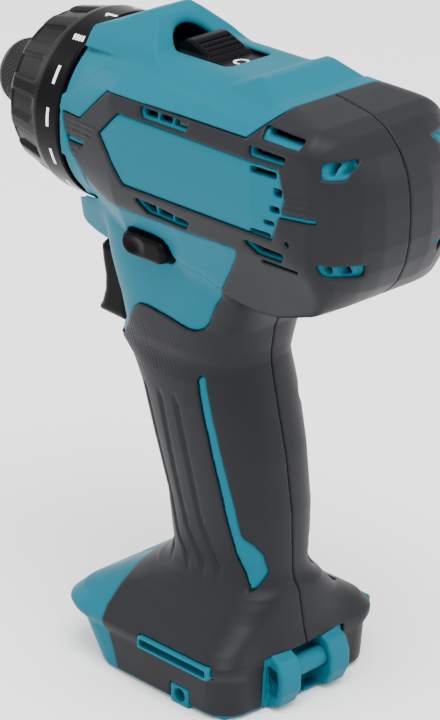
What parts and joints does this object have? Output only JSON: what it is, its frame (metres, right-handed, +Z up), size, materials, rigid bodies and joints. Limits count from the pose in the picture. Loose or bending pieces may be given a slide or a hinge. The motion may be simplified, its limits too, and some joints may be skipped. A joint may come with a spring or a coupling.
{
  "type": "cordless drill",
  "caption": "Compact pistol-grip hex driver-drill body with torque ring, bit sleeve, speed selector, trigger and a slide-on battery foot.",
  "frame": {"origin": "centre of the bounding box in plan, at the underside of the foot", "axes": "+X towards the bit sleeve, +Y to the tool's left side, +Z up through the grip"},
  "size_m": [0.154, 0.0656, 0.191],
  "materials": {
    "teal_plastic": "fine matt moulded plastic",
    "black_plastic": "satin black moulded plastic",
    "soft_grip": "soft-touch overmould, matt",
    "dark_steel": "black-oxide steel",
    "steel": "ground steel",
    "sintered": "sintered steel, oiled",
    "zinc_steel": "zinc-plated pressed steel",
    "spring_steel": "drawn wire",
    "aluminium": "extruded",
    "copper": "enamelled wire and copper",
    "brass": "machined",
    "magnet": "ferrite",
    "grey_plastic": "glass-filled nylon",
    "clear_plastic": "clear lens",
    "board": "circuit board",
    "lead_insulation": "silicone insulation",
    "bronze": "oil-filled sintered bronze",
    "white_paint": "printed white figures and marks"
  },
  "bodies": {
    "housing": {"housing_left": "teal_plastic", "housing_right": "teal_plastic", "overmold_left": "soft_grip", "overmold_right": "soft_grip", "top_cover": "teal_plastic", "housing_screws": "zinc_steel", "strap_bar": "teal_plastic", "clip_nuts": "zinc_steel", "lamp_lens": "clear_plastic", "lamp_board": "board", "lamp_leads": "lead_insulation", "terminal_block": "black_plastic", "terminal_blades": "copper", "power_leads": "lead_insulation", "motor_leads": "lead_insulation", "switch_body": "black_plastic", "heat_sink": "aluminium", "motor_can": "zinc_steel", "motor_magnets": "magnet", "motor_end_bell": "grey_plastic", "motor_brushes": "magnet", "motor_bearings": "bronze", "motor_plate": "aluminium", "gear_case": "aluminium", "ring_gear_1": "sintered", "ring_gear_3": "sintered", "spindle_bearing": "bronze", "clutch_pins": "steel", "clutch_washer": "steel", "retaining_ring": "spring_steel"},
    "rotor": {"motor_shaft": "steel", "armature": "copper", "commutator": "copper", "motor_fan": "grey_plastic", "pinion": "steel"},
    "mid_shaft": {"carrier_1": "sintered", "planets_2": "sintered", "carrier_2": "sintered"},
    "shift_ring": {"ring_gear_2": "sintered"},
    "planet_1a": {"planet_1a": "sintered"},
    "planet_1b": {"planet_1b": "sintered"},
    "planet_1c": {"planet_1c": "sintered"},
    "planet_3a": {"planet_3a": "sintered"},
    "planet_3b": {"planet_3b": "sintered"},
    "planet_3c": {"planet_3c": "sintered"},
    "spindle": {"spindle": "steel", "bit_balls": "steel", "stop_ring": "spring_steel"},
    "sleeve": {"bit_sleeve": "dark_steel", "sleeve_spring": "spring_steel"},
    "torque_ring": {"torque_ring": "black_plastic"},
    "spring_holder": {"spring_holder": "grey_plastic", "clutch_spring": "spring_steel"},
    "selector": {"speed_selector": "black_plastic", "shift_wire": "spring_steel"},
    "trigger": {"trigger": "black_plastic", "switch_plunger": "grey_plastic", "trigger_spring": "spring_steel"},
    "reverser": {"reversing_bar": "black_plastic"}
  },
  "joints": [
    {"name": "spindle_spin", "type": "hinge", "parent": "housing", "child": "spindle", "pos_m": [0.05, 0, 0.157], "axis": [1, 0, 0], "continuous": true},
    {"name": "mid_shaft_spin", "type": "hinge", "parent": "housing", "child": "mid_shaft", "pos_m": [0.01, 0, 0.157], "axis": [1, 0, 0], "continuous": true},
    {"name": "rotor_spin", "type": "hinge", "parent": "housing", "child": "rotor", "pos_m": [-0.03, 0, 0.157], "axis": [1, 0, 0], "continuous": true},
    {"name": "speed_select", "type": "slide", "parent": "housing", "child": "selector", "axis": [1, 0, 0], "range_m": [-0.0064, 0]},
    {"name": "shift_ring_slide", "type": "slide", "parent": "mid_shaft", "child": "shift_ring", "axis": [1, 0, 0], "range_m": [-0.0064, 0]},
    {"name": "torque_ring_turn", "type": "hinge", "parent": "housing", "child": "torque_ring", "pos_m": [0.044, 0, 0.157], "axis": [1, 0, 0], "range_deg": [0, 300]},
    {"name": "spring_holder_slide", "type": "slide", "parent": "housing", "child": "spring_holder", "axis": [1, 0, 0], "range_m": [-0.00524, 0], "deforming": ["clutch_spring"]},
    {"name": "trigger_pull", "type": "slide", "parent": "housing", "child": "trigger", "axis": [-1, 0, 0], "range_m": [0, 0.0055], "stiffness_N_per_m": 700, "springref_m": -0.004, "deforming": ["trigger_spring"]},
    {"name": "reverser_push", "type": "slide", "parent": "housing", "child": "reverser", "axis": [0, 1, 0], "range_m": [-0.003, 0.003]},
    {"name": "sleeve_pull", "type": "slide", "parent": "spindle", "child": "sleeve", "axis": [1, 0, 0], "range_m": [0, 0.004], "stiffness_N_per_m": 1500, "springref_m": -0.002, "deforming": ["sleeve_spring"]},
    {"name": "planet_1a_spin", "type": "hinge", "parent": "mid_shaft", "child": "planet_1a", "pos_m": [0, 0, 0.1666], "axis": [1, 0, 0], "continuous": true},
    {"name": "planet_3a_spin", "type": "hinge", "parent": "spindle", "child": "planet_3a", "pos_m": [0, 0, 0.169], "axis": [1, 0, 0], "continuous": true},
    {"name": "planet_1b_spin", "type": "hinge", "parent": "mid_shaft", "child": "planet_1b", "pos_m": [0, -0.00831, 0.1522], "axis": [1, 0, 0], "continuous": true},
    {"name": "planet_3b_spin", "type": "hinge", "parent": "spindle", "child": "planet_3b", "pos_m": [0, -0.01039, 0.151], "axis": [1, 0, 0], "continuous": true},
    {"name": "planet_1c_spin", "type": "hinge", "parent": "mid_shaft", "child": "planet_1c", "pos_m": [0, 0.00831, 0.1522], "axis": [1, 0, 0], "continuous": true},
    {"name": "planet_3c_spin", "type": "hinge", "parent": "spindle", "child": "planet_3c", "pos_m": [0, 0.01039, 0.151], "axis": [1, 0, 0], "continuous": true}
  ],
  "couplings": [
    {"joint": "spindle_spin", "follows": "rotor_spin", "ratio": 0.065625},
    {"joint": "mid_shaft_spin", "follows": "rotor_spin", "ratio": 0.1875},
    {"joint": "shift_ring_slide", "follows": "speed_select", "ratio": 1},
    {"joint": "torque_ring_turn", "follows": "spring_holder_slide", "rad_per_m": -1000},
    {"joint": "planet_1a_spin", "follows": "rotor_spin", "ratio": -0.4875},
    {"joint": "planet_3a_spin", "follows": "rotor_spin", "ratio": -0.28437},
    {"joint": "planet_1b_spin", "follows": "rotor_spin", "ratio": -0.4875},
    {"joint": "planet_3b_spin", "follows": "rotor_spin", "ratio": -0.28437},
    {"joint": "planet_1c_spin", "follows": "rotor_spin", "ratio": -0.4875},
    {"joint": "planet_3c_spin", "follows": "rotor_spin", "ratio": -0.28437}
  ]
}
